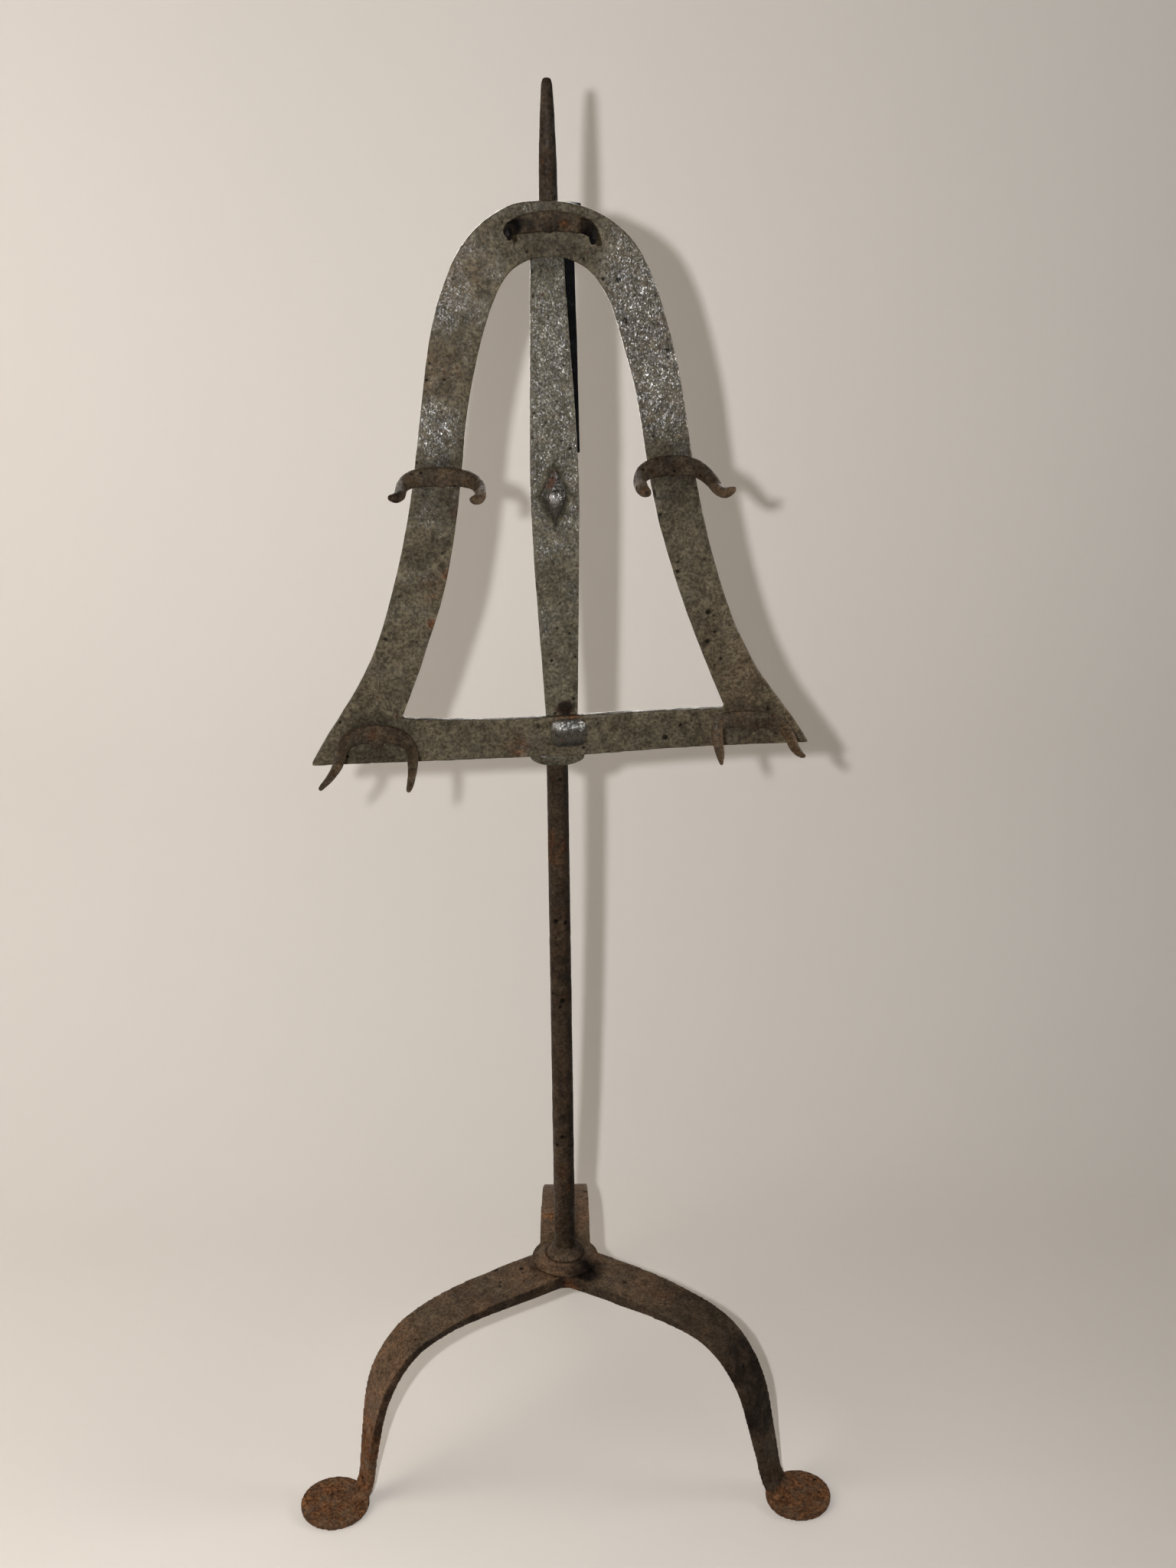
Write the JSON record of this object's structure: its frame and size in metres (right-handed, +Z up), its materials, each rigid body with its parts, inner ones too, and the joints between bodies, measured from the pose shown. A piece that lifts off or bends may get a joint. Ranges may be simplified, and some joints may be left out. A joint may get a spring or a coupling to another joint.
{
  "type": "standing hearth roaster",
  "caption": "Free-standing hearth roaster: a bell-shaped frame of forked hooks that slides and turns on a round upright carried by arched legs.",
  "frame": {"origin": "on the floor, under the axis of the upright", "axes": "+Z up along the upright; -Y is the front, the way the hooks point; +X is to the right seen from the front"},
  "size_m": [0.3217, 0.2797, 0.8076],
  "materials": {
    "legs": "hammered wrought iron with rust",
    "upright": "worn forged bar",
    "frame_bars": "pitted forged bar",
    "spring": "dark fire scale",
    "hooks": "sooty forged iron",
    "rivets": "rubbed hammered heads"
  },
  "bodies": {
    "base": {"front_legs": "legs", "rear_leg": "legs"},
    "rod": {"upright_rod": "upright"},
    "frame": {"bell_arch": "frame_bars", "crossbar": "frame_bars", "centre_bar": "frame_bars", "spring_leaf": "spring", "diamond_rove": "rivets", "spring_rivet": "rivets", "crossbar_rivet": "rivets", "hook_top": "hooks", "hook_left": "hooks", "hook_right": "hooks", "hook_lower_left": "hooks", "hook_lower_right": "hooks", "rivet_top": "rivets", "rivet_left": "rivets", "rivet_right": "rivets", "rivet_lower_left": "rivets", "rivet_lower_right": "rivets"}
  },
  "joints": [
    {"name": "frame_turn", "type": "hinge", "parent": "base", "child": "rod", "pos_m": [0, 0, 0.12], "axis": [0, 0, 1], "continuous": true},
    {"name": "frame_slide", "type": "slide", "parent": "rod", "child": "frame", "axis": [0, 0, 1], "range_m": [-0.32, 0.05]}
  ]
}
